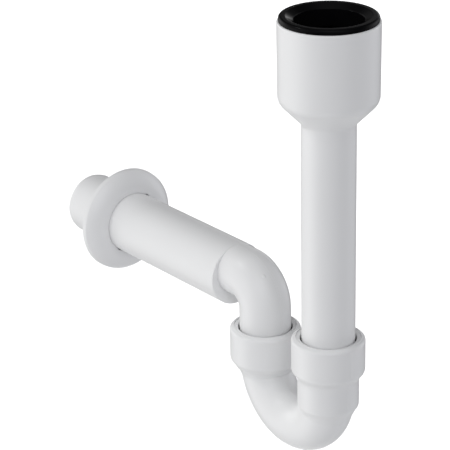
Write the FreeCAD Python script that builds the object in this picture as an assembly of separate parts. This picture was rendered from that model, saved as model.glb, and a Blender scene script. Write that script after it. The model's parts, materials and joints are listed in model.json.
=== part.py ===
"""P trap with a sleeved inlet cup, a push-fit U-bend, an outlet bend and a wall rosette.

The origin is on the inlet axis, in the plane of the cup's rim. +Z is up, and +Y is the
direction in which the wall tube leaves. All sizes are in millimetres.
"""
import FreeCAD, Part
import math
import os
from FreeCAD import Vector

os.makedirs("parts", exist_ok=True)

# ---------------------------------------------------------------- driving dimensions
PIPE_R = 20.0                  # 40 mm pipe: dip pipe, U-bend and elbow
TUBE_R = 25.0                  # 50 mm wall tube
WALL = 2.0                     # wall of pipe, tube, bend and elbow
PIPE_BORE = PIPE_R - WALL
TUBE_BORE = TUBE_R - WALL

CUP_R = 36.5                   # outside of the inlet cup, where its straight part ends
CUP_MOUTH_R = 36.8             # and at its rim, because of the mould's draft
CUP_WALL = 2.5
CUP_BORE = CUP_R - CUP_WALL
CUP_STRAIGHT = 58.5            # depth at which the cup starts to narrow
CONE_END = 75.4                # depth at which the cup has become the dip pipe
CUP_SHOULDER = 10.0            # radius between cup and cone
CUP_BLEND = 5.0                # radius between cone and pipe
CUP_RIM_IN = 0.8               # edge radii of the cup's rim
CUP_RIM_OUT = 1.1
DIP_START = 80.0               # depth of the weld between cup and dip pipe
DIP_END = 282.0                # depth of the dip pipe's lower end
LEAD_IN = 3.0                  # chamfer on a pipe end that is pushed into a socket
LEAD_IN_R = 0.9

SLEEVE_BORE = 25.0             # land that grips a 50 mm spigot
SLEEVE_LIP_R = 35.6
SLEEVE_LIP_H = 4.0
SLEEVE_BEAD_R = 30.6           # inner edge of the rounded lip
SLEEVE_LAND_TOP = 0.8
SLEEVE_LAND_END = -12.0
SLEEVE_DEPTH = 46.0
SLEEVE_GROOVE_R = 29.0         # bottom of the grooves between the sealing lips
SLEEVE_LIPS = 3
SLEEVE_PITCH = 7.5             # from one sealing lip to the next
SLEEVE_FLANK = 2.0             # depths below the top of a lip's pitch: end of the flank above,
SLEEVE_FLOOR = 5.5             # end of the groove's floor,
SLEEVE_TIP = 8.5               # start of the lip's tip
SLEEVE_TIP_END = 9.5           # and its end
SLEEVE_LAST = 4.0              # length of the flank under the last lip
SLEEVE_EDGE = 1.0
SLEEVE_UNDER_LIP = 0.4         # edge radii of the rounded lip
SLEEVE_LIP_OUT = 1.9
SLEEVE_LIP_IN = 1.2

LEG_SPACING = 80.0             # from dip pipe to outlet leg
BEND_R = LEG_SPACING / 2       # centre-line radius of the U-bend
BEND_Z = -291.3                # height of the U-bend's centre
LEG_TURN = -3.9                # degrees that the U-bend's plane is turned from +Y

SOCKET_R = 27.6                # outside of both push-fit sockets
SOCKET_H = 26.4                # straight height of a socket
SHOULDER_H = 5.6               # chamfer under it
GUIDE_OUT_R = 23.1             # outside of the guide below the shoulder
INLET_RIM_Z = -244.3
OUTLET_RIM_Z = -265.8
INLET_STOP_Z = -297.0          # floor that the dip pipe stops on
OUTLET_STOP_Z = -294.0
INLET_GUIDE_END_Z = -299.3
GUIDE_CLEAR = 0.3              # radial room between pipe and guide
GUIDE_TAPER = 4.4              # length over which the guide narrows to the bend
GUIDE_SHORT = 0.2              # straight length of the outlet socket's guide
GUIDE_LEAD_IN = 2.0            # depth and width of the guide's chamfered mouth
GUIDE_LEAD_IN_R = 0.8
SOCKET_RIM = 2.4               # edge radius of a socket's mouth
SOCKET_EDGE = 1.0              # its other edge radii
STUB_R = 1.6                   # gate stub under the bend
STUB_LENGTH = 4.0
STUB_LEAN = 10.0               # degrees from straight down, towards the dip pipe

CHAMBER_R = 24.5               # seal chamber, open to the socket's mouth
RING_H = 5.0                   # retaining ring
RING_BORE = PIPE_R + 1.1
SEAL_GAP = 0.3                 # room above and below the seal
SEAL_H = 7.0
SEAL_CLEAR = 0.3               # seal to chamber wall
LIP_CLEAR = 0.05               # seal lip to pipe, a running fit
SEAL_EDGE = 0.5
SEAL_TOP_GAP = 1.6             # seal's upper side to the pipe
SEAL_LIP_TOP = 3.2             # heights of the lip's flat above the seal's base
SEAL_LIP_END = 1.8
SEAL_UNDER = 0.8               # height and place of the corner under the lip
SEAL_UNDER_GAP = 1.4
SEAL_BASE_GAP = 2.2            # seal's lower side to the pipe
RING_EDGE = 0.4
RING_LEAD_IN = 1.0             # rounded inner edge that the pipe meets first

ELBOW_R = 22.0                 # centre-line radius of the elbow
TUBE_Z = -233.5                # axis of the wall tube
ELBOW_Z = TUBE_Z + TUBE_R - PIPE_R   # the elbow enters flush with the tube's top
LEG_END_Z = -288.0             # lower end of the elbow's leg
TUBE_START = 33.5              # from outlet leg axis to the tube's closed end
TUBE_END = 228.5
END_WALL = 4.0                 # thickness of the tube's closed end
SPIGOT_END = 52.0              # end of the elbow's spigot inside the tube
SPIGOT_R = 19.0
SPIGOT_BORE = 17.2
BOSS_R = 21.5                  # boss inside the tube that holds the spigot
TUBE_EDGE = 0.8                # edge radius of the closed end
MARK_START = 183.2             # ring mark on the tube at the wall, which the rosette hides
MARK_END = 184.4
MARK_DEPTH = 0.4
GATE_R = 1.3                   # gate mark on the elbow
GATE_H = 0.4
GATE_RISE = 47.0               # degrees up from the front of the turn
GATE_SIDE = -17.5              # degrees round the pipe from the outermost line

ROSETTE_R = 43.2
ROSETTE_BACK = 182.0           # from outlet leg axis to the face that meets the wall
ROSETTE_H = 12.0
ROSETTE_EDGE = 3.0             # straight part of the rim
ROSETTE_HOLE = TUBE_R + 0.4
ROSETTE_COLLAR = 1.8           # wall of the collar round the tube
ROSETTE_CROWN_R = ROSETTE_HOLE + ROSETTE_COLLAR + 0.6
ROSETTE_SKIN = 2.2

ORIGIN = Vector(0, 0, 0)
UP = Vector(0, 0, 1)
ALONG = Vector(0, 1, 0)


# ---------------------------------------------------------------- helpers
def rounded_wire(corners):
    """Closed wire in the XZ plane through (r, z) or (r, z, fillet) corners."""
    pts = [Vector(c[0], 0, c[1]) for c in corners]
    radii = [c[2] if len(c) > 2 else 0.0 for c in corners]
    count = len(pts)
    ends = []
    for i in range(count):
        here = pts[i]
        if radii[i] == 0.0:
            ends.append((here, None, here))
            continue
        back = (pts[i - 1] - here).normalize()
        ahead = (pts[(i + 1) % count] - here).normalize()
        half = math.acos(max(-1.0, min(1.0, back.dot(ahead)))) / 2
        reach = radii[i] / math.tan(half)
        middle = (back + ahead).normalize() * (radii[i] / math.sin(half) - radii[i])
        ends.append((here + back * reach, here + middle, here + ahead * reach))
    edges = []
    for i in range(count):
        start, mid, stop = ends[i]
        if mid is not None:
            edges.append(Part.Arc(start, mid, stop).toShape())
        following = ends[(i + 1) % count][0]
        if stop.distanceToPoint(following) > 1e-6:
            edges.append(Part.LineSegment(stop, following).toShape())
    return Part.Wire(edges)


def turned(corners):
    """Solid of revolution about Z."""
    return Part.Face(rounded_wire(corners)).revolve(ORIGIN, UP, 360)


def along_y(shape, start_y, x, z):
    """Turn a solid made about Z so that its axis is +Y, and put its foot at start_y."""
    shape = shape.copy()
    shape.rotate(ORIGIN, Vector(1, 0, 0), -90)
    shape.translate(Vector(x, start_y, z))
    return shape


def cylinder(radius, z_low, z_high, x=0.0, y=0.0):
    return Part.makeCylinder(radius, z_high - z_low, Vector(x, y, z_low))


def bend(radius, start, start_normal, pivot, axis, angle):
    """Round bar swept from start about a pivot axis."""
    disc = Part.Face(Part.Wire(Part.makeCircle(radius, start, start_normal)))
    return disc.revolve(pivot, axis, angle)


def moved_to_leg(shape):
    """Copy of a shape made on the dip pipe's axis, on the outlet leg's axis."""
    copy = shape.copy()
    copy.translate(LEG)
    return copy


def save(name, shape):
    shape = shape.removeSplitter()
    solids = shape.Solids
    assert shape.isValid(), name
    assert len(solids) == 1, (name, len(solids))
    solids[0].exportStep("parts/%s.step" % name)
    box = shape.BoundBox
    print("%-24s vol %9.1f  z %.1f..%.1f" % (name, shape.Volume, box.ZMin, box.ZMax))


turn = math.radians(90 + LEG_TURN)
LEG_DIR = Vector(math.cos(turn), math.sin(turn), 0)      # from dip pipe to outlet leg
LEG_SIDE = Vector(-math.sin(turn), math.cos(turn), 0)    # normal of the U-bend's plane
LEG = LEG_DIR * LEG_SPACING
OVERSHOOT = 1.0                # how far a cutting tool runs past a face


# ---------------------------------------------------------------- inlet
def inlet_cup():
    """Cup that narrows through a cone to the size of the dip pipe."""
    cone = CONE_END - CUP_STRAIGHT
    inner_start = CUP_STRAIGHT - CUP_WALL / 3
    return turned([
        (CUP_BORE, 0, CUP_RIM_IN), (CUP_MOUTH_R, 0, CUP_RIM_OUT),
        (CUP_R, -CUP_STRAIGHT, CUP_SHOULDER), (PIPE_R, -CONE_END, CUP_BLEND),
        (PIPE_R, -DIP_START), (PIPE_BORE, -DIP_START),
        (PIPE_BORE, -inner_start - cone, CUP_BLEND),
        (CUP_BORE, -inner_start, CUP_SHOULDER - CUP_WALL),
    ])


def dip_pipe():
    """Plain pipe welded to the cup, with its lower end chamfered for the push-fit socket."""
    return turned([
        (PIPE_BORE, -DIP_START), (PIPE_R, -DIP_START),
        (PIPE_R, -DIP_END + LEAD_IN), (PIPE_R - LEAD_IN_R, -DIP_END), (PIPE_BORE, -DIP_END),
    ])


def inlet_sleeve():
    """Rubber sleeve pressed into the cup, with a rounded lip and three sealing lips inside."""
    corners = [
        (CUP_BORE, -SLEEVE_DEPTH, SLEEVE_EDGE), (CUP_BORE, 0),
        (SLEEVE_LIP_R, 0, SLEEVE_UNDER_LIP), (SLEEVE_LIP_R, SLEEVE_LIP_H, SLEEVE_LIP_OUT),
        (SLEEVE_BEAD_R, SLEEVE_LIP_H, SLEEVE_LIP_IN),
        (SLEEVE_BORE, SLEEVE_LAND_TOP), (SLEEVE_BORE, SLEEVE_LAND_END),
    ]
    # below the gripping land: lips that lean down, with grooves between them
    for i in range(SLEEVE_LIPS):
        top = SLEEVE_LAND_END - i * SLEEVE_PITCH
        corners += [(SLEEVE_GROOVE_R, top - SLEEVE_FLANK), (SLEEVE_GROOVE_R, top - SLEEVE_FLOOR),
                    (SLEEVE_BORE, top - SLEEVE_TIP), (SLEEVE_BORE, top - SLEEVE_TIP_END)]
    last = SLEEVE_LAND_END - SLEEVE_LIPS * SLEEVE_PITCH
    corners.append((SLEEVE_GROOVE_R, last - SLEEVE_LAST))
    corners.append((SLEEVE_GROOVE_R, -SLEEVE_DEPTH, SLEEVE_EDGE))
    return turned(corners)


# ---------------------------------------------------------------- U-bend and its seals
def socket_outside(rim_z, guide_end_z):
    """Filled outside of one socket, about Z."""
    shoulder = rim_z - SOCKET_H
    guide_top = shoulder - SHOULDER_H
    return turned([
        (0, rim_z), (SOCKET_R, rim_z, SOCKET_RIM), (SOCKET_R, shoulder, SOCKET_EDGE),
        (GUIDE_OUT_R, guide_top, SOCKET_EDGE), (GUIDE_OUT_R, guide_end_z, SOCKET_EDGE),
        (PIPE_R, guide_end_z - GUIDE_TAPER), (0, guide_end_z - GUIDE_TAPER),
    ])


def socket_inside(rim_z, stop_z):
    """Cut for one socket: seal chamber and guide."""
    chamber_end = rim_z - RING_H - SEAL_H - 2 * SEAL_GAP
    guide = PIPE_R + GUIDE_CLEAR
    return turned([
        (0, rim_z + OVERSHOOT), (CHAMBER_R, rim_z + OVERSHOOT), (CHAMBER_R, chamber_end),
        (guide + GUIDE_LEAD_IN_R, chamber_end), (guide, chamber_end - GUIDE_LEAD_IN),
        (guide, stop_z), (0, stop_z),
    ])


def u_bend():
    """U-bend with both sockets moulded on, and the stub of its gate underneath."""
    start = Vector(0, 0, BEND_Z)
    pivot = LEG_DIR * BEND_R + start
    outlet_guide_end = OUTLET_RIM_Z - SOCKET_H - SHOULDER_H - GUIDE_SHORT
    outside = socket_outside(INLET_RIM_Z, INLET_GUIDE_END_Z)
    second = moved_to_leg(socket_outside(OUTLET_RIM_Z, outlet_guide_end))
    arc = bend(PIPE_R, start, UP, pivot, LEG_SIDE, -180)
    bore = bend(PIPE_BORE, start, UP, pivot, LEG_SIDE, -180)
    # gate stub, close to the lowest point and square to the bend
    lean = math.radians(STUB_LEAN)
    down = Vector(0, 0, -1) * math.cos(lean) - LEG_DIR * math.sin(lean)
    stub_start = pivot + down * (BEND_R + PIPE_R - WALL / 2)
    stub = Part.makeCylinder(STUB_R, STUB_LENGTH + WALL / 2, stub_start, down)
    solid = outside.fuse([second, arc, stub])
    cut = socket_inside(INLET_RIM_Z, INLET_STOP_Z)
    second_cut = moved_to_leg(socket_inside(OUTLET_RIM_Z, OUTLET_STOP_Z))
    return solid.cut(cut.fuse([second_cut, bore]))


def retaining_ring(rim_z):
    """Ring snapped into a socket's mouth, flush with its rim."""
    return turned([
        (RING_BORE, rim_z - RING_H, RING_EDGE), (CHAMBER_R, rim_z - RING_H, RING_EDGE),
        (CHAMBER_R, rim_z, RING_EDGE / 2), (RING_BORE, rim_z, RING_LEAD_IN),
    ])


def lip_seal(rim_z):
    """Rubber ring with a square heel and a lip that leans down to the pipe."""
    top = rim_z - RING_H - SEAL_GAP
    base = top - SEAL_H
    heel = CHAMBER_R - SEAL_CLEAR
    lip = PIPE_R + LIP_CLEAR
    return turned([
        (heel, base, SEAL_EDGE), (heel, top, SEAL_EDGE), (PIPE_R + SEAL_TOP_GAP, top, SEAL_EDGE),
        (lip, base + SEAL_LIP_TOP), (lip, base + SEAL_LIP_END),
        (PIPE_R + SEAL_UNDER_GAP, base + SEAL_UNDER),
        (PIPE_R + SEAL_BASE_GAP, base, SEAL_EDGE / 2),
    ])


# ---------------------------------------------------------------- outlet
def outlet_elbow():
    """90 degree elbow: leg down into the socket, stepped spigot into the wall tube."""
    leg_top = ELBOW_Z - ELBOW_R
    pivot = Vector(0, ELBOW_R, leg_top)
    turn_start = Vector(0, 0, leg_top)
    run = TUBE_START - ELBOW_R
    spigot_length = SPIGOT_END - TUBE_START
    mouth = Vector(0, ELBOW_R, ELBOW_Z)
    shoulder = Vector(0, TUBE_START, ELBOW_Z)
    east = Vector(1, 0, 0)
    leg = turned([(0, leg_top), (PIPE_R, leg_top), (PIPE_R, LEG_END_Z + LEAD_IN),
                  (PIPE_R - LEAD_IN_R, LEG_END_Z), (0, LEG_END_Z)])
    outside = leg.fuse([bend(PIPE_R, turn_start, UP, pivot, east, -90),
                        Part.makeCylinder(PIPE_R, run, mouth, ALONG),
                        Part.makeCylinder(SPIGOT_R, spigot_length, shoulder, ALONG)])
    bore = cylinder(PIPE_BORE, LEG_END_Z - OVERSHOOT, leg_top)
    bore = bore.fuse([bend(PIPE_BORE, turn_start, UP, pivot, east, -90),
                      Part.makeCylinder(PIPE_BORE, run - END_WALL, mouth, ALONG),
                      Part.makeCylinder(SPIGOT_BORE, SPIGOT_END, mouth, ALONG)])
    # gate mark on the outside of the turn
    rise = math.radians(GATE_RISE)
    aside = math.radians(GATE_SIDE)
    outward = Vector(0, -math.cos(rise), math.sin(rise))
    square = outward * math.cos(aside) + east * math.sin(aside)
    foot = pivot + outward * ELBOW_R + square * (PIPE_R - WALL / 2)
    mark = Part.makeCylinder(GATE_R, WALL / 2 + GATE_H, foot, square)
    return moved_to_leg(outside.fuse(mark).cut(bore))


def wall_tube():
    """50 mm tube whose closed end holds the elbow's spigot off-centre, flush at the top."""
    length = TUBE_END - TUBE_START
    groove_r = TUBE_R - MARK_DEPTH
    outside = turned([(0, 0), (TUBE_R, 0, TUBE_EDGE), (TUBE_R, MARK_START - TUBE_START),
                      (groove_r, MARK_START - TUBE_START), (groove_r, MARK_END - TUBE_START),
                      (TUBE_R, MARK_END - TUBE_START), (TUBE_R, length - LEAD_IN),
                      (TUBE_R - LEAD_IN_R, length), (0, length)])
    inside = cylinder(TUBE_BORE, END_WALL, length + OVERSHOOT)
    offset = ELBOW_Z - TUBE_Z
    depth = SPIGOT_END - TUBE_START
    boss = Part.makeCylinder(BOSS_R, depth, Vector(0, -offset, 0))
    hole = Part.makeCylinder(SPIGOT_R, depth + OVERSHOOT, Vector(0, -offset, -OVERSHOOT))
    solid = outside.cut(inside.cut(boss)).cut(hole)
    return along_y(solid, LEG.y + TUBE_START, LEG.x, TUBE_Z)


def rosette_form(outline_r, front, hole_r, back):
    """Solid of the rosette's dome about Z, with its front towards -Z."""
    centre = Vector(ROSETTE_CROWN_R, 0, -ROSETTE_EDGE)
    rim = Vector(outline_r, 0, -ROSETTE_EDGE)
    crown = Vector(ROSETTE_CROWN_R, 0, -front)
    dome = Part.Ellipse(rim, crown, centre).toShape(0, math.pi / 2)
    rest = Part.makePolygon([crown, Vector(hole_r, 0, -front), Vector(hole_r, 0, back),
                             Vector(outline_r, 0, back), rim])
    return Part.Face(Part.Wire([dome] + rest.Edges)).revolve(ORIGIN, UP, 360)


def wall_rosette():
    """Domed cover shell for the hole in the wall, with a collar round the tube."""
    outer = rosette_form(ROSETTE_R, ROSETTE_H, ROSETTE_HOLE, 0.0)
    inner = rosette_form(ROSETTE_R - ROSETTE_SKIN, ROSETTE_H - ROSETTE_SKIN,
                         ROSETTE_HOLE + ROSETTE_COLLAR, OVERSHOOT)
    return along_y(outer.cut(inner), LEG.y + ROSETTE_BACK, LEG.x, TUBE_Z)


save("inlet_cup", inlet_cup())
save("dip_pipe", dip_pipe())
save("inlet_sleeve", inlet_sleeve())
save("inlet_seal", lip_seal(INLET_RIM_Z))
save("inlet_retaining_ring", retaining_ring(INLET_RIM_Z))
save("u_bend", u_bend())
save("outlet_seal", moved_to_leg(lip_seal(OUTLET_RIM_Z)))
save("outlet_retaining_ring", moved_to_leg(retaining_ring(OUTLET_RIM_Z)))
save("outlet_elbow", outlet_elbow())
save("wall_tube", wall_tube())
save("wall_rosette", wall_rosette())
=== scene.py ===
"""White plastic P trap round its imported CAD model: materials, fine mouldings, studio and camera."""
import json
import math

import bmesh
import bpy
import numpy as np
from mathutils import Matrix, Vector


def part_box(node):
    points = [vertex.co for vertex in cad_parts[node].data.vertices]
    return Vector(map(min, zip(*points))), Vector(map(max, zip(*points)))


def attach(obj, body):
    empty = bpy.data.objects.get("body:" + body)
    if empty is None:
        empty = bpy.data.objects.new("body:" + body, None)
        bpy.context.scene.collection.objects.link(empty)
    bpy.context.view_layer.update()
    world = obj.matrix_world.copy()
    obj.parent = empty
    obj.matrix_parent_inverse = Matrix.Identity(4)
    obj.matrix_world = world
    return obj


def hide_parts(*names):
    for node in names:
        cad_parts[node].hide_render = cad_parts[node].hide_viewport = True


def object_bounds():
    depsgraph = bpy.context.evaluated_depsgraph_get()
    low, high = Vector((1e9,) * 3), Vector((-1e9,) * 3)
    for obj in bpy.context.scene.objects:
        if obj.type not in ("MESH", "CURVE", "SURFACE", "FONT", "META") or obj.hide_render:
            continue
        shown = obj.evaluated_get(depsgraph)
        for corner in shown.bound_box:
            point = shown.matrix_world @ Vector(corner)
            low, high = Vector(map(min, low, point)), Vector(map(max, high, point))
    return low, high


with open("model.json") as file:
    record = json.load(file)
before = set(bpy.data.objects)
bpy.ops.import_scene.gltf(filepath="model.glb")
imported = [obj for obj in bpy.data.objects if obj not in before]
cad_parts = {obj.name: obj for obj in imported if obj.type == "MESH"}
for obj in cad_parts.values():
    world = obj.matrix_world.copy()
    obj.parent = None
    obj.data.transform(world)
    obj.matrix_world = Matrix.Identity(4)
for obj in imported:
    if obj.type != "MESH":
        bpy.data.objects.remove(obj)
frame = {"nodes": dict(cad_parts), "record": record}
cad_low, cad_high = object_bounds()
nodes = frame["nodes"]

MM = 0.001


# ---------------------------------------------------------------- measures from the frame
def box_mm(node):
    """Low and high corner of a CAD node, in millimetres."""
    low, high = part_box(node)
    return Vector(low) / MM, Vector(high) / MM


# ---------------------------------------------------------------- materials
def graph(material):
    """Empty the material's node tree but for its shader, and give makers of linked nodes."""
    material.use_nodes = True
    tree = material.node_tree
    tree.nodes.clear()
    output = tree.nodes.new("ShaderNodeOutputMaterial")
    shader = tree.nodes.new("ShaderNodeBsdfPrincipled")
    tree.links.new(shader.outputs["BSDF"], output.inputs["Surface"])
    place = tree.nodes.new("ShaderNodeTexCoord").outputs["Object"]

    def noise(scale, detail, low, high):
        """Noise over the object, spread from low to high."""
        source = tree.nodes.new("ShaderNodeTexNoise")
        source.inputs["Scale"].default_value = scale
        source.inputs["Detail"].default_value = detail
        tree.links.new(place, source.inputs["Vector"])
        spread = tree.nodes.new("ShaderNodeMapRange")
        spread.inputs["To Min"].default_value = low
        spread.inputs["To Max"].default_value = high
        tree.links.new(source.outputs["Fac"], spread.inputs["Value"])
        return spread.outputs["Result"]

    def bump(height, distance, under=None):
        """Bump from a height of 0 to 1 times a distance in metres, over another bump if given."""
        node = tree.nodes.new("ShaderNodeBump")
        node.inputs["Strength"].default_value = 1.0
        node.inputs["Distance"].default_value = distance
        tree.links.new(height, node.inputs["Height"])
        if under is not None:
            tree.links.new(under, node.inputs["Normal"])
        return node.outputs["Normal"]

    def mix(factor, first, second):
        """Colour between two."""
        node = tree.nodes.new("ShaderNodeMix")
        node.data_type = "RGBA"
        # sockets 6, 7 and 2 are the Mix node's colours A, B and result
        node.inputs[6].default_value = (*first, 1)
        node.inputs[7].default_value = (*second, 1)
        tree.links.new(factor, node.inputs["Factor"])
        return node.outputs[2]

    return tree, shader, noise, bump, mix


def white_plastic():
    """Satin alpine white polypropylene: faint flow of tone, orange peel and a fine mould grain."""
    material = bpy.data.materials.new("satin_polypropylene")
    tree, shader, noise, bump, mix = graph(material)
    flow = noise(scale=18, detail=2, low=0, high=1)
    tone = mix(flow, (0.835, 0.838, 0.838), (0.865, 0.868, 0.870))
    tree.links.new(tone, shader.inputs["Base Color"])
    rough = noise(scale=60, detail=0, low=0.27, high=0.34)
    tree.links.new(rough, shader.inputs["Roughness"])
    peel = bump(noise(scale=160, detail=1, low=0, high=1), distance=0.000006)
    grain = bump(noise(scale=2600, detail=2, low=0, high=1), distance=0.0000012, under=peel)
    tree.links.new(grain, shader.inputs["Normal"])
    return material


def black_rubber():
    """Black EPDM: slightly glossy skin with a fine grain and a trace of bloom."""
    material = bpy.data.materials.new("black_epdm")
    tree, shader, noise, bump, mix = graph(material)
    bloom = noise(scale=90, detail=3, low=0, high=1)
    tone = mix(bloom, (0.002, 0.002, 0.0022), (0.004, 0.004, 0.0045))
    tree.links.new(tone, shader.inputs["Base Color"])
    rough = noise(scale=320, detail=3, low=0.13, high=0.20)
    tree.links.new(rough, shader.inputs["Roughness"])
    grain = bump(noise(scale=1500, detail=3, low=0, high=1), distance=0.000004)
    tree.links.new(grain, shader.inputs["Normal"])
    shader.inputs["Specular IOR Level"].default_value = 0.05
    return material


MATERIALS = {"white_plastic": white_plastic(), "black_rubber": black_rubber()}


def dress_nodes():
    """Every CAD node shows the material of its slot."""
    for sub in frame["record"]["subparts"]:
        for slot in nodes[sub["node"]].material_slots:
            slot.material = MATERIALS[sub["material_slot"]]


# ---------------------------------------------------------------- sizes, in millimetres
# fillets of small edges, from crisp to soft
CRISP = 0.3
EDGE = 0.4
EASED = 0.5
SOFT = 0.6

PIPE_R = 20.0                  # 40 mm pipe: dip pipe, U-bend and elbow
TUBE_R = 25.0                  # 50 mm wall tube
WALL = 2.0
PIPE_BORE = PIPE_R - WALL
CUP_R = 36.5
CUP_MOUTH_R = 36.8             # wider at the rim, by the mould's draft
CUP_BORE = 34.0
CUP_RIM_IN = 0.8               # fillets of the cup's rim
CUP_RIM_OUT = 1.1
CUP_STRAIGHT = 58.5            # depth at which the cup starts to narrow
CONE_END = 75.4                # depth at which it has become the pipe
CUP_SHOULDER = 10.0            # radius between cup and cone
CUP_BLEND = 5.0                # radius between cone and pipe
LEAD_IN = 3.0                  # chamfer on a pushed-in pipe end
LEAD_IN_R = 0.9

SLEEVE_BORE = 25.0
SLEEVE_LIP_R = 35.6
SLEEVE_BEAD_R = 30.6
SLEEVE_GROOVE_R = 29.0
SLEEVE_LAND_TOP = 0.8          # heights between which it grips the pipe that comes in
SLEEVE_LAND_END = -12.0
SLEEVE_LIPS = 3                # sealing lips
SLEEVE_PITCH = 7.5
SLEEVE_FOOT = 1.0              # fillets of its lower end, and of its outer lip and inner bead
SLEEVE_LIP_ROUND = 1.9
SLEEVE_BEAD_ROUND = 1.2
GROOVE_FROM, GROOVE_TO = 2.0, 5.5      # depths from each pitch's start: the groove
LIP_FROM, LIP_TO = 8.5, 9.5            # and the sealing lip, just above the next groove
LAST_GROOVE = 4.0              # start of the last groove, which runs to the lower end

BEND_R = 40.0                  # centre line of the U-bend
BEND_Z = -291.3                # height of its centre
BEND_CLEAR = 0.3               # upright rings end this far above the centre
SOCKET_SWEEP = 36              # degrees of the bend under each socket that have fine rings
FINE = 0.75                    # degrees between those rings
COARSE = 2.0                   # and between the others
BLEND = 3.0                    # soft join of guide and bend
REACH_UNDER, REACH_OVER = 1, 12        # sockets are looked for this far off the bend's skin
REACH_STEPS = 261
SOCKET_R = 27.6
SOCKET_H = 26.4
SOCKET_RIM = 2.4               # fillets of its rim, outside and at the mouth
MOUTH_EDGE = 0.6
SOCKET_RUN = 2.5               # longest step down a socket's outside
SHOULDER_H = 5.6               # chamfer under a socket
SHOULDER_SOFT = 5.0            # fillets of the shoulder, the hollow under it and the guide
HOLLOW_SOFT = 9.0
GUIDE_SOFT = 4.0
GUIDE_OUT_R = 23.1
GUIDE_BORE = 20.3
GUIDE_TAPER = 4.4              # height over which the guide narrows to the pipe
INLET_GUIDE_END = -299.3       # height at which the inlet's guide ends
OUTLET_GUIDE = 0.2             # length of the outlet's guide
INLET_STOP = -297.0            # floors that the pushed-in pipes stop on
OUTLET_STOP = -294.0
STOP_FALL = 0.1                # fall of those floors towards the axis
CHAMBER_R = 24.5               # seal chamber
CHAMBER_LEAD = 2.0             # lead-in from the chamber to the guide
CHAMBER_LEAD_R = 0.8
RING_H = 5.0
RING_BORE = PIPE_R + 1.1
RING_LEAD = 1.0
SEAL_H = 7.0
SEAL_GAP = 0.3                 # room above, below and round a seal
SEAL_LIP = 0.05                # the lip, drawn relaxed, is this far off the pipe
SEAL_LIP_TOP, SEAL_LIP_LOW = 3.2, 1.8  # heights above the seal's base
SEAL_THROAT = 1.6              # how far its top, its hollow and its base are off the pipe
SEAL_HOLLOW = 1.4
SEAL_BASE = 2.2
SEAL_HOLLOW_H = 0.8
SEAL_HOLLOW_EDGE = 0.2
SEAL_BASE_EDGE = 0.25
STUB_R = 1.6                   # gate stub under the bend
STUB_LENGTH = 4.0
STUB_LEAN = 10.0               # degrees from straight down, towards the inlet
PINHOLE = 0.05                 # radius of the hole along a peg's axis
PEG_ROUND = 32                 # vertices round a peg

ELBOW_R = 22.0                 # centre line of the elbow
TUBE_START = 33.5              # from the outlet leg's axis to the tube's closed end
SPIGOT_END = 52.0              # from the same axis to the spigot's end inside the tube
SPIGOT_R = 19.0
SPIGOT_BORE = 17.2
END_WALL = 4.0                 # the bore narrows this far before the tube's closed end
ELBOW_RUN = 1.0                # longest step along the elbow
GATE_R = 2.0                   # gate pip on the elbow: radius of its round head
GATE_ROUND = 1.7               # fillet of the head
GATE_H = 0.5                   # how far it stands out
GATE_RISE = 47.0               # degrees round the turn from its start
GATE_SIDE = -17.5              # degrees round the pipe from the outermost line

ROSETTE_R = 43.2
ROSETTE_H = 12.0
ROSETTE_HOLE = TUBE_R + 0.1
NOTCHES = (37.0, 216.5)        # degrees from the top: relief notches in the rosette's hole
NOTCH_DEPTH = 0.9
NOTCH_HALF = 3.5               # degrees
ROSETTE_COLLAR = 1.8           # wall of the collar round the tube
ROSETTE_LAND = 0.6             # flat ring between collar and dome
ROSETTE_SKIN = 2.2             # wall of the dome
ROSETTE_EDGE = 3.0             # height of the rim under the dome's arc
DOME_STEPS = 24

# places in the frame
UP = Vector((0, 0, 1))
CUP_END = box_mm("inlet_cup")[0].z
DIP_END = box_mm("dip_pipe")[0].z
SLEEVE_LOW, SLEEVE_HIGH = box_mm("inlet_sleeve")
INLET_RIM = box_mm("inlet_retaining_ring")[1].z
LEG_LOW, LEG_HIGH = box_mm("outlet_retaining_ring")
OUTLET_RIM = LEG_HIGH.z
LEG = (LEG_LOW + LEG_HIGH) / 2
LEG.z = 0
LEG_DIR = LEG.normalized()
LEG_SIDE = UP.cross(LEG_DIR)
ELBOW_LOW = box_mm("outlet_elbow")[0].z
TUBE_LOW, TUBE_HIGH = box_mm("wall_tube")
TUBE_Z = (TUBE_LOW.z + TUBE_HIGH.z) / 2
ELBOW_Z = TUBE_Z + TUBE_R - PIPE_R
ROSETTE_BACK = box_mm("wall_rosette")[1].y

# ---------------------------------------------------------------- mesh making
ROUND = 144                    # vertices round a pipe
ARC_STEPS = 6                  # steps in a fillet
SUPPORT = 0.25                 # distance of the loop that keeps the face beside a fillet flat
LINE_HEIGHT = 0.09             # mould parting line
LINE_HALF = 0.26               # half its width
LINE_MARGIN = 0.5              # rings this much inside the pipe's skin have no line
HOLE_MARGIN = 1.0              # rings this near to the rosette's hole have its notches
SHARP = math.radians(38)       # an edge turning more than this is shaded sharp


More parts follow.
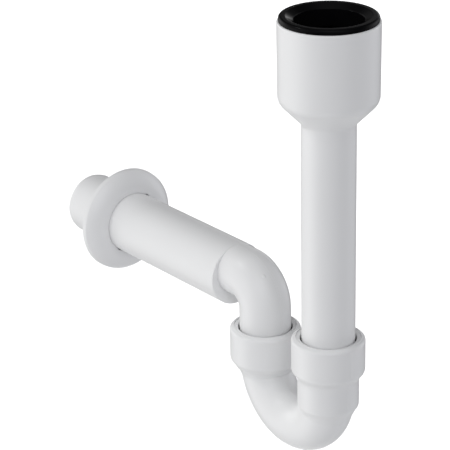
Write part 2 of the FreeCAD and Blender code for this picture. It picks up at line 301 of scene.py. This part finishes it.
def outline(corners, longest=1000.0):
    """Closed outline through (along, radius, fillet) corners, with no run over the longest."""
    arcs = []
    for i, corner in enumerate(corners):
        here = Vector(corner[:2])
        fillet = corner[2] if len(corner) > 2 else 0
        if fillet == 0:
            arcs.append([here])
            continue
        back = (Vector(corners[i - 1][:2]) - here).normalized()
        ahead = (Vector(corners[(i + 1) % len(corners)][:2]) - here).normalized()
        half = back.angle(ahead) / 2
        centre = here + (back + ahead).normalized() * fillet / math.sin(half)
        first = here + back * fillet / math.tan(half) - centre
        last = here + ahead * fillet / math.tan(half) - centre
        start = math.atan2(first.y, first.x)
        sweep = (math.atan2(last.y, last.x) - start + math.pi) % math.tau - math.pi
        arcs.append([centre + fillet * Vector((math.cos(start + sweep * step / ARC_STEPS),
                                               math.sin(start + sweep * step / ARC_STEPS)))
                     for step in range(ARC_STEPS + 1)])
    points = []
    for arc, following in zip(arcs, arcs[1:] + arcs[:1]):
        points += arc
        run = following[0] - arc[-1]
        if run.length > 4 * SUPPORT:
            beside = run.normalized() * SUPPORT
            start, stop = arc[-1] + beside, following[0] - beside
            pieces = max(1, math.ceil(run.length / longest))
            points += [start.lerp(stop, k / pieces) for k in range(pieces + 1)]
    return points


def turn_angles(lined):
    """Angles round a pipe, with close ones at a parting line in front and behind."""
    angles = {k * math.tau / ROUND for k in range(ROUND)}
    if lined:
        for middle in (0, math.pi):
            for aside in (-LINE_HALF, -LINE_HALF / 3, LINE_HALF / 3, LINE_HALF):
                angles.add((middle + aside / PIPE_R) % math.tau)
    return np.array(sorted(angles))


def line_height(angles):
    """Height of the parting line at each angle."""
    aside = np.abs((angles + math.pi / 2) % math.pi - math.pi / 2) * PIPE_R
    return np.where(aside < LINE_HALF / 2, LINE_HEIGHT, 0.0)


def skin(name, rings):
    """Closed quad mesh through rings of points, in millimetres, each joined to the next."""
    points = np.array(rings)
    count, around = points.shape[:2]
    mesh = bpy.data.meshes.new(name)
    here = np.arange(count * around).reshape(count, around)
    beside = np.roll(here, -1, axis=1)
    faces = np.stack([here, beside, np.roll(beside, -1, axis=0), np.roll(here, -1, axis=0)], -1)
    mesh.from_pydata((points.reshape(-1, 3) * MM).tolist(), [], faces.reshape(-1, 4).tolist())
    form = bmesh.new()
    form.from_mesh(mesh)
    bmesh.ops.recalc_face_normals(form, faces=form.faces)
    form.to_mesh(mesh)
    form.free()
    mesh.shade_smooth()
    mesh.set_sharp_from_angle(angle=SHARP)
    piece = bpy.data.objects.new(name, mesh)
    bpy.context.scene.collection.objects.link(piece)
    return piece


def ring(centre, out, side, radii, angles):
    """Points at the given radii round a centre."""
    spokes = np.outer(np.cos(angles), out) + np.outer(np.sin(angles), side)
    return np.array(centre) + spokes * np.reshape(radii, (-1, 1))


def revolved(name, corners, foot=Vector(), axis=UP, out=Vector((1, 0, 0)), notched=None):
    """Skin of revolution: corners are (along the axis, radius, fillet).

    notched(radius, angles) changes the radii of a ring that isn't quite round.
    """
    angles = turn_angles(False)
    side = axis.cross(out)
    return skin(name, [ring(foot + axis * along, out, side,
                            radius if notched is None else notched(radius, angles), angles)
                       for along, radius in outline(corners)])


def dressed(piece, node):
    """The piece stands for a CAD node: it rides on the node's body with the node's finish."""
    record = frame["record"]
    body = next(b for b, members in record["behaviour"]["bodies"].items() if node in members)
    sub = next(s for s in record["subparts"] if s["node"] == node)
    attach(piece, body)
    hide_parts(node)
    piece.data.materials.append(MATERIALS[sub["material_slot"]])
    return piece


def fused(piece, tool):
    """Join a small solid to a piece, and smooth the result's shading again."""
    join = piece.modifiers.new("fuse", "BOOLEAN")
    join.operation = "UNION"
    join.solver = "EXACT"
    join.object = tool
    depsgraph = bpy.context.evaluated_depsgraph_get()
    mesh = bpy.data.meshes.new_from_object(piece.evaluated_get(depsgraph))
    piece.modifiers.clear()
    piece.data = mesh
    mesh.shade_smooth()
    mesh.set_sharp_from_angle(angle=SHARP)
    bpy.data.objects.remove(tool)
    return piece


def peg(name, foot, direction, radius, length, edge):
    """Short round peg with a rounded end, and a pinhole along its axis."""
    aside = direction.orthogonal().normalized()
    points = outline([(0, PINHOLE), (0, radius), (length, radius, edge), (length, PINHOLE)])
    angles = np.linspace(0, math.tau, PEG_ROUND, endpoint=False)
    return skin(name, [ring(foot + direction * along, aside, direction.cross(aside), far, angles)
                       for along, far in points])


# ---------------------------------------------------------------- inlet
def inlet_cup():
    """Cup and the cone under it, down to where the dip pipe starts."""
    inner_start = -CUP_STRAIGHT + (CUP_R - CUP_BORE) / 3
    inner_end = inner_start - (CONE_END - CUP_STRAIGHT)
    return revolved("inlet_cup_shell", [
        (0, CUP_BORE, CUP_RIM_IN), (0, CUP_MOUTH_R, CUP_RIM_OUT),
        (-CUP_STRAIGHT, CUP_R, CUP_SHOULDER),
        (-CONE_END, PIPE_R, CUP_BLEND), (CUP_END, PIPE_R), (CUP_END, PIPE_BORE),
        (inner_end, PIPE_BORE, CUP_BLEND),
        (inner_start, CUP_BORE, CUP_SHOULDER - CUP_R + CUP_BORE)])


def dip_pipe():
    """Pipe from the cup's cone down into the trap, with a lead-in at its end."""
    return revolved("dip_pipe_shell", [
        (CUP_END, PIPE_BORE), (CUP_END, PIPE_R), (DIP_END + LEAD_IN, PIPE_R, SOFT),
        (DIP_END, PIPE_R - LEAD_IN_R, CRISP), (DIP_END, PIPE_BORE, CRISP)])


def inlet_sleeve():
    """Rubber sleeve: lip over the cup's rim, gripping land, then the sealing lips."""
    low, high = SLEEVE_LOW.z, SLEEVE_HIGH.z
    corners = [
        (low, CUP_BORE, SLEEVE_FOOT), (0, CUP_BORE), (0, SLEEVE_LIP_R, EDGE),
        (high, SLEEVE_LIP_R, SLEEVE_LIP_ROUND), (high, SLEEVE_BEAD_R, SLEEVE_BEAD_ROUND),
        (SLEEVE_LAND_TOP, SLEEVE_BORE, SOFT), (SLEEVE_LAND_END, SLEEVE_BORE, EASED)]
    for i in range(SLEEVE_LIPS):
        top = SLEEVE_LAND_END - i * SLEEVE_PITCH
        corners += [(top - GROOVE_FROM, SLEEVE_GROOVE_R, EASED),
                    (top - GROOVE_TO, SLEEVE_GROOVE_R, EASED),
                    (top - LIP_FROM, SLEEVE_BORE, EDGE), (top - LIP_TO, SLEEVE_BORE, CRISP)]
    last = SLEEVE_LAND_END - SLEEVE_LIPS * SLEEVE_PITCH
    corners += [(last - LAST_GROOVE, SLEEVE_GROOVE_R, EASED),
                (low, SLEEVE_GROOVE_R, SLEEVE_FOOT)]
    return revolved("inlet_sleeve_rubber", corners)


# ---------------------------------------------------------------- U-bend, its rings and seals
def retaining_ring(name, rim, foot=Vector()):
    """Ring that closes a seal chamber, flush with the socket's rim."""
    return revolved(name, [
        (rim - RING_H, RING_BORE, EDGE), (rim - RING_H, CHAMBER_R, EDGE),
        (rim, CHAMBER_R, MOUTH_EDGE), (rim, RING_BORE, RING_LEAD)], foot)


def lip_seal(name, rim, foot=Vector()):
    """Rubber seal under a retaining ring: a heel in the chamber and a lip on the pipe."""
    top = rim - RING_H - SEAL_GAP
    base = top - SEAL_H
    heel = CHAMBER_R - SEAL_GAP
    lip = PIPE_R + SEAL_LIP
    return revolved(name, [
        (base, heel, EASED), (top, heel, EASED), (top, PIPE_R + SEAL_THROAT, EASED),
        (base + SEAL_LIP_TOP, lip, EDGE), (base + SEAL_LIP_LOW, lip, CRISP),
        (base + SEAL_HOLLOW_H, PIPE_R + SEAL_HOLLOW, SEAL_HOLLOW_EDGE),
        (base, PIPE_R + SEAL_BASE, SEAL_BASE_EDGE)], foot)


def socket_outside(rim, guide_end):
    """Outside of a socket from its mouth down to the bend, as (height, radius)."""
    shoulder = rim - SOCKET_H
    slope = (GUIDE_OUT_R - PIPE_R) / GUIDE_TAPER
    low = guide_end - 3 * GUIDE_TAPER
    corners = [(rim, CHAMBER_R, MOUTH_EDGE), (rim, SOCKET_R, SOCKET_RIM),
               (shoulder, SOCKET_R, SHOULDER_SOFT),
               (shoulder - SHOULDER_H, GUIDE_OUT_R, HOLLOW_SOFT),
               (guide_end, GUIDE_OUT_R, GUIDE_SOFT),
               (low, GUIDE_OUT_R - slope * (guide_end - low)), (low, 0), (rim, 0)]
    points = outline(corners, SOCKET_RUN)
    # the last two corners only close the outline, so the points after the third last go
    return points[:points.index(Vector(corners[-3][:2])) + 1]


def socket_inside(rim, stop):
    """Inside of a socket from its mouth down to its floor, as (height, radius)."""
    chamber_end = rim - RING_H - SEAL_H - 2 * SEAL_GAP
    return [Vector(p) for p in (
        (rim, CHAMBER_R), (chamber_end, CHAMBER_R), (chamber_end, GUIDE_BORE + CHAMBER_LEAD_R),
        (chamber_end - CHAMBER_LEAD, GUIDE_BORE), (stop, GUIDE_BORE), (stop - STOP_FALL, 0))]


def crossing(centre, spokes, sockets, least):
    """How far each spoke runs before it leaves the sockets, and at least to the bend's skin."""
    reach = np.linspace(least - REACH_UNDER, least + REACH_OVER, REACH_STEPS)
    points = np.array(centre) + spokes[:, None, :] * reach[None, :, None]
    far = np.full(len(spokes), float(least))
    for axis, profile in sockets:
        heights = np.array([p.x for p in profile])[::-1]
        radii = np.array([p.y for p in profile])[::-1]
        level = points[..., 2]
        limit = np.where(level < heights[0], 0, np.interp(level, heights, radii))
        inside = np.hypot(points[..., 0] - axis.x, points[..., 1] - axis.y) < limit
        last = len(reach) - 1 - np.argmax(inside[:, ::-1], axis=1)
        hit = np.where(inside.any(axis=1), reach[last], 0)
        # soft join of socket and bend
        near = np.maximum(BLEND - np.abs(hit - far), 0) / BLEND
        far = np.maximum(hit, far) + near * near * BLEND / 4 * (hit > 0)
    return far


def bend_skin(inlet, outlet, least, height):
    """Rings of one skin of the U-bend, from the inlet's mouth round to the outlet's."""
    angles = turn_angles(True)
    pivot = LEG_DIR * BEND_R + UP * BEND_Z
    rings = [ring(UP * z, -LEG_DIR, LEG_SIDE, radius + height * line_height(angles), angles)
             for z, radius in inlet if z > BEND_Z + BEND_CLEAR]
    far_socket = 180 - SOCKET_SWEEP
    steps = np.concatenate([np.arange(0, SOCKET_SWEEP, FINE),
                            np.arange(SOCKET_SWEEP, far_socket, COARSE),
                            np.arange(far_socket, 180 + FINE / 2, FINE)])
    for step in steps:
        around = math.radians(step)
        out = -LEG_DIR * math.cos(around) - UP * math.sin(around)
        centre = pivot + out * BEND_R
        spokes = np.outer(np.cos(angles), out) + np.outer(np.sin(angles), LEG_SIDE)
        far = crossing(centre, spokes, [(Vector(), inlet), (LEG, outlet)], least)
        rings.append(ring(centre, out, LEG_SIDE, far + height * line_height(angles), angles))
    rings += [ring(LEG + UP * z, LEG_DIR, LEG_SIDE, radius + height * line_height(angles), angles)
              for z, radius in reversed(outlet) if z > BEND_Z + BEND_CLEAR]
    return rings


def u_bend():
    """U-bend with a socket at each end, and its gate stub underneath."""
    outlet_guide_end = OUTLET_RIM - SOCKET_H - SHOULDER_H - OUTLET_GUIDE
    outer = bend_skin(socket_outside(INLET_RIM, INLET_GUIDE_END),
                      socket_outside(OUTLET_RIM, outlet_guide_end), PIPE_R, 1)
    inner = bend_skin(socket_inside(INLET_RIM, INLET_STOP),
                      socket_inside(OUTLET_RIM, OUTLET_STOP), PIPE_BORE, 0)
    piece = skin("u_bend_shell", outer + inner[-2:0:-1])
    lean = math.radians(STUB_LEAN)
    down = -UP * math.cos(lean) - LEG_DIR * math.sin(lean)
    foot = LEG_DIR * BEND_R + UP * BEND_Z + down * (BEND_R + PIPE_R - WALL / 2)
    return fused(piece, peg("gate_stub", foot, down, STUB_R, STUB_LENGTH + WALL / 2, CRISP))


# ---------------------------------------------------------------- outlet
def elbow_path(along):
    """Centre, outward and sideways direction of the elbow, from its leg's lower end."""
    top = ELBOW_Z - ELBOW_R
    straight = top - ELBOW_LOW
    quarter = ELBOW_R * math.pi / 2
    forward = Vector((0, 1, 0))
    side = Vector((1, 0, 0))
    if along < straight:
        return LEG + UP * (ELBOW_LOW + along), -forward, side
    if along < straight + quarter:
        around = (along - straight) / ELBOW_R
        out = -forward * math.cos(around) + UP * math.sin(around)
        return LEG + UP * top + forward * ELBOW_R + out * ELBOW_R, out, side
    run = along - straight - quarter
    return LEG + UP * ELBOW_Z + forward * (ELBOW_R + run), UP, side


def outlet_elbow():
    """Elbow from its leg in the second socket to the spigot in the wall tube."""
    quarter = ELBOW_R * math.pi / 2
    mouth = ELBOW_Z - ELBOW_R - ELBOW_LOW + quarter      # where the turn ends
    shoulder = mouth + TUBE_START - ELBOW_R
    end = mouth + SPIGOT_END - ELBOW_R
    points = outline([
        (0, PIPE_BORE, CRISP), (0, PIPE_R - LEAD_IN_R, CRISP), (LEAD_IN, PIPE_R, SOFT),
        (shoulder, PIPE_R), (shoulder, SPIGOT_R), (end, SPIGOT_R), (end, SPIGOT_BORE),
        (shoulder - END_WALL, SPIGOT_BORE), (shoulder - END_WALL, PIPE_BORE)], ELBOW_RUN)
    angles = turn_angles(True)
    rings = []
    for along, radius in points:
        height = line_height(angles) * (PIPE_R - LINE_MARGIN < radius)
        rings.append(ring(*elbow_path(along), radius + height, angles))
    piece = skin("outlet_elbow_shell", rings)
    rise = math.radians(GATE_RISE)
    aside = math.radians(GATE_SIDE)
    pivot = LEG + Vector((0, ELBOW_R, ELBOW_Z - ELBOW_R))
    outward = Vector((0, -math.cos(rise), math.sin(rise)))
    square = outward * math.cos(aside) + Vector((1, 0, 0)) * math.sin(aside)
    foot = pivot + outward * ELBOW_R + square * (PIPE_R - WALL / 2)
    return fused(piece, peg("gate_pip", foot, square, GATE_R, WALL / 2 + GATE_H, GATE_ROUND))


def notched_hole(radius, angles):
    """Radii of a ring of the rosette, with the hole's notches where it is the hole."""
    if radius > ROSETTE_HOLE + HOLE_MARGIN:
        return radius
    depth = 0
    for middle in NOTCHES:
        aside = (np.degrees(angles) - middle + 180) % 360 - 180
        depth = depth + NOTCH_DEPTH * np.exp(-(aside / NOTCH_HALF) ** 2)
    return radius + depth


def wall_rosette():
    """Domed cover with a collar round the tube; its back is open."""
    collar = ROSETTE_HOLE + ROSETTE_COLLAR
    crown = collar + ROSETTE_LAND

    def dome(outer, height):
        """Arc from the rim's edge up to the crown, as (along, radius)."""
        rise, width = height - ROSETTE_EDGE, outer - crown
        tilt = 2 * math.atan2(rise, width)
        bow = width / math.sin(tilt)
        return [(-(ROSETTE_EDGE + rise - bow * (1 - math.cos(a))), crown + bow * math.sin(a))
                for a in (tilt * (1 - k / DOME_STEPS) for k in range(DOME_STEPS + 1))]

    outside = dome(ROSETTE_R, ROSETTE_H)
    inside = dome(ROSETTE_R - ROSETTE_SKIN, ROSETTE_H - ROSETTE_SKIN)
    corners = ([(0, ROSETTE_R, EDGE)] + outside[1:] + [(-ROSETTE_H, ROSETTE_HOLE, EDGE),
               (0, ROSETTE_HOLE, CRISP), (0, collar, CRISP),
               (-ROSETTE_H + ROSETTE_SKIN, collar)]
               + inside[::-1] + [(0, ROSETTE_R - ROSETTE_SKIN, EDGE)])
    return revolved("wall_rosette_shell", corners,
                    Vector((LEG.x, ROSETTE_BACK, TUBE_Z)), Vector((0, 1, 0)), UP, notched_hole)


def make_pieces():
    """Every visual piece; the wall tube keeps its CAD shape."""
    dressed(inlet_cup(), "inlet_cup")
    dressed(dip_pipe(), "dip_pipe")
    dressed(inlet_sleeve(), "inlet_sleeve")
    dressed(u_bend(), "u_bend")
    dressed(retaining_ring("inlet_ring", INLET_RIM), "inlet_retaining_ring")
    dressed(retaining_ring("outlet_ring", OUTLET_RIM, LEG), "outlet_retaining_ring")
    dressed(lip_seal("inlet_lip_seal", INLET_RIM), "inlet_seal")
    dressed(lip_seal("outlet_lip_seal", OUTLET_RIM, LEG), "outlet_seal")
    dressed(outlet_elbow(), "outlet_elbow")
    dressed(wall_rosette(), "wall_rosette")


# ---------------------------------------------------------------- studio
CAMERA_REACH = 1.379           # metres from the inlet axis, level
CAMERA_HEIGHT = 0.432          # metres above the cup's rim
CAMERA_PLACE = -41.4           # azimuth of the camera's place; 0 looks along +Y
CAMERA_LOOK = -38.285          # azimuth of its line of sight
CAMERA_PITCH = 23.016          # degrees down
CAMERA_ROLL = -1.09            # degrees
CAMERA_LENS = 165.5            # millimetres
CAMERA_SENSOR = 36             # millimetres wide
CAMERA_SIGHT = 60              # metres: it sees no further
FLOOR_DROP = 1.2               # metres from the trap's lowest point to the floor
FLOOR_HALF = 30                # metres: half the floor's side
FLOOR_TONE = 0.9
FLOOR_ROUGHNESS = 0.9
FLOOR_GLOW = 0.8

# levels of the light boxes
STRONG = 2.4
FILL = 1.6
BOUNCE = 1.4
WEAK = 1.0
NEUTRAL = (1.0, 1.0, 1.0)
COOL = (0.988, 0.994, 1.028)
# name: azimuth and elevation in degrees (azimuth 0 is the camera's right, 90 behind the trap,
# 180 left), focus (higher is narrower), level and tint of each light box
SOFTBOXES = {
    "left_low": (180, -20, 10, FILL, NEUTRAL),
    "left_high": (180, 38, 10, WEAK, NEUTRAL),
    "front_left": (210, 8, 10, FILL, NEUTRAL),
    "front_high": (270, 38, 10, STRONG, COOL),
    "front_right": (300, 8, 10, WEAK, COOL),
    "rim_right": (25, 5, 10, STRONG, COOL),
    "rim_left": (140, 5, 12, STRONG, NEUTRAL),
    "backdrop": (75, 5, 50, FILL, NEUTRAL),
    "top": (0, 90, 10, WEAK, NEUTRAL),
    "bounce_left": (180, -50, 10, BOUNCE, NEUTRAL),
    "bounce_right": (0, -50, 10, BOUNCE, COOL),
    "bounce_front": (270, -50, 10, BOUNCE, COOL),
    "bounce_back": (90, -50, 10, BOUNCE, NEUTRAL),
}
WORLD_LEVEL = 0.77
KEY_AZIMUTH = 176              # small strip light that draws the highlights on the rubber
KEY_RISE = 44                  # degrees, as above
KEY_REACH = 1.6                # metres from the middle of the cup's rim
KEY_WIDTH = 0.26
KEY_HEIGHT = 0.05
KEY_WATTS = 2.3


def sight_line():
    """Direction in which the camera looks."""
    look = math.radians(90 + CAMERA_LOOK)
    pitch = math.radians(CAMERA_PITCH)
    return Vector((math.cos(look) * math.cos(pitch), math.sin(look) * math.cos(pitch),
                   -math.sin(pitch)))


def box_direction(azimuth, elevation):
    """Direction to a light box, from its azimuth as the camera sees it."""
    ahead = sight_line()
    ahead.z = 0
    ahead.normalize()
    right = ahead.cross(Vector((0, 0, 1)))
    around, rise = math.radians(azimuth), math.radians(elevation)
    level = right * math.cos(around) + ahead * math.sin(around)
    return level * math.cos(rise) + Vector((0, 0, math.sin(rise)))


def make_key_light():
    """Narrow light at the upper left, aimed at the cup, for highlights on the rubber's lip."""
    data = bpy.data.lights.new("key_strip", "AREA")
    data.shape = "RECTANGLE"
    data.size = KEY_WIDTH
    data.size_y = KEY_HEIGHT
    data.energy = KEY_WATTS
    light = bpy.data.objects.new("key_strip", data)
    toward = box_direction(KEY_AZIMUTH, KEY_RISE)
    light.location = toward * KEY_REACH
    light.rotation_euler = toward.to_track_quat("Z", "Y").to_euler()
    bpy.context.scene.collection.objects.link(light)


def make_camera():
    """Camera at the photograph's viewing angle."""
    place = math.radians(90 + CAMERA_PLACE)
    roll = math.radians(CAMERA_ROLL)
    spot = Vector((-CAMERA_REACH * math.cos(place), -CAMERA_REACH * math.sin(place),
                   CAMERA_HEIGHT))
    sight = sight_line()
    level = sight.cross(Vector((0, 0, 1))).normalized()
    above = level.cross(sight)
    right = level * math.cos(roll) + above * math.sin(roll)
    up = above * math.cos(roll) - level * math.sin(roll)
    camera = bpy.data.objects.new("camera", bpy.data.cameras.new("camera"))
    camera.data.lens = CAMERA_LENS
    camera.data.sensor_width = CAMERA_SENSOR
    camera.data.clip_end = CAMERA_SIGHT
    turn = Matrix((right, up, -sight)).transposed().to_4x4()
    camera.matrix_world = Matrix.Translation(spot) @ turn
    bpy.context.scene.collection.objects.link(camera)
    bpy.context.scene.camera = camera


def make_world():
    """Soft light from wide lobes, one to a light box; the camera sees a plain white backdrop."""
    world = bpy.data.worlds.new("studio")
    bpy.context.scene.world = world
    world.use_nodes = True
    tree = world.node_tree
    tree.nodes.clear()
    direction = tree.nodes.new("ShaderNodeTexCoord").outputs["Generated"]

    def maths(operation, first, second):
        """Math node of two values, each a number or a socket."""
        node = tree.nodes.new("ShaderNodeMath")
        node.operation = operation
        for socket, value in zip(node.inputs, (first, second)):
            if isinstance(value, (int, float)):
                socket.default_value = value
            else:
                tree.links.new(value, socket)
        return node.outputs["Value"]

    def vector_maths(operation, first, second):
        """Vector Math node of a socket and a socket or vector."""
        node = tree.nodes.new("ShaderNodeVectorMath")
        node.operation = operation
        tree.links.new(first, node.inputs[0])
        if isinstance(second, Vector):
            node.inputs[1].default_value = second
        else:
            tree.links.new(second, node.inputs[1])
        return node

    total = None
    for azimuth, elevation, focus, level, tint in SOFTBOXES.values():
        toward = box_direction(azimuth, elevation)
        facing = vector_maths("DOT_PRODUCT", direction, toward).outputs["Value"]
        lobe = maths("POWER", maths("MAXIMUM", facing, 0), focus)
        colour = Vector(tint) * level
        lit = vector_maths("MULTIPLY", lobe, colour).outputs["Vector"]
        total = lit if total is None else vector_maths("ADD", total, lit).outputs["Vector"]
    light = tree.nodes.new("ShaderNodeBackground")
    tree.links.new(total, light.inputs["Color"])
    light.inputs["Strength"].default_value = WORLD_LEVEL
    backdrop = tree.nodes.new("ShaderNodeBackground")
    backdrop.inputs["Color"].default_value = (1, 1, 1, 1)
    either = tree.nodes.new("ShaderNodeMixShader")
    path = tree.nodes.new("ShaderNodeLightPath")
    tree.links.new(path.outputs["Is Camera Ray"], either.inputs["Fac"])
    tree.links.new(light.outputs["Background"], either.inputs[1])
    tree.links.new(backdrop.outputs["Background"], either.inputs[2])
    output = tree.nodes.new("ShaderNodeOutputWorld")
    tree.links.new(either.outputs["Shader"], output.inputs["Surface"])


def make_floor():
    """Plain pale floor well below the trap, which hangs from its inlet and rests on nothing."""
    mesh = bpy.data.meshes.new("floor")
    form = bmesh.new()
    bmesh.ops.create_grid(form, x_segments=1, y_segments=1, size=FLOOR_HALF)
    form.to_mesh(mesh)
    form.free()
    floor = bpy.data.objects.new("floor", mesh)
    floor.location.z = cad_low[2] - FLOOR_DROP
    material = bpy.data.materials.new("pale_floor")
    material.use_nodes = True
    shader = material.node_tree.nodes["Principled BSDF"]
    shader.inputs["Base Color"].default_value = (FLOOR_TONE, FLOOR_TONE, FLOOR_TONE, 1)
    shader.inputs["Roughness"].default_value = FLOOR_ROUGHNESS
    shader.inputs["Emission Color"].default_value = (1, 1, 1, 1)
    shader.inputs["Emission Strength"].default_value = FLOOR_GLOW
    mesh.materials.append(material)
    # the lobes from below stand for the light that the floor throws back
    floor.visible_diffuse = False
    floor.visible_glossy = False
    floor.visible_shadow = False
    bpy.context.scene.collection.objects.link(floor)


make_camera()
make_world()
make_key_light()
make_floor()
dress_nodes()
make_pieces()
bpy.context.scene.view_settings.view_transform = "Standard"
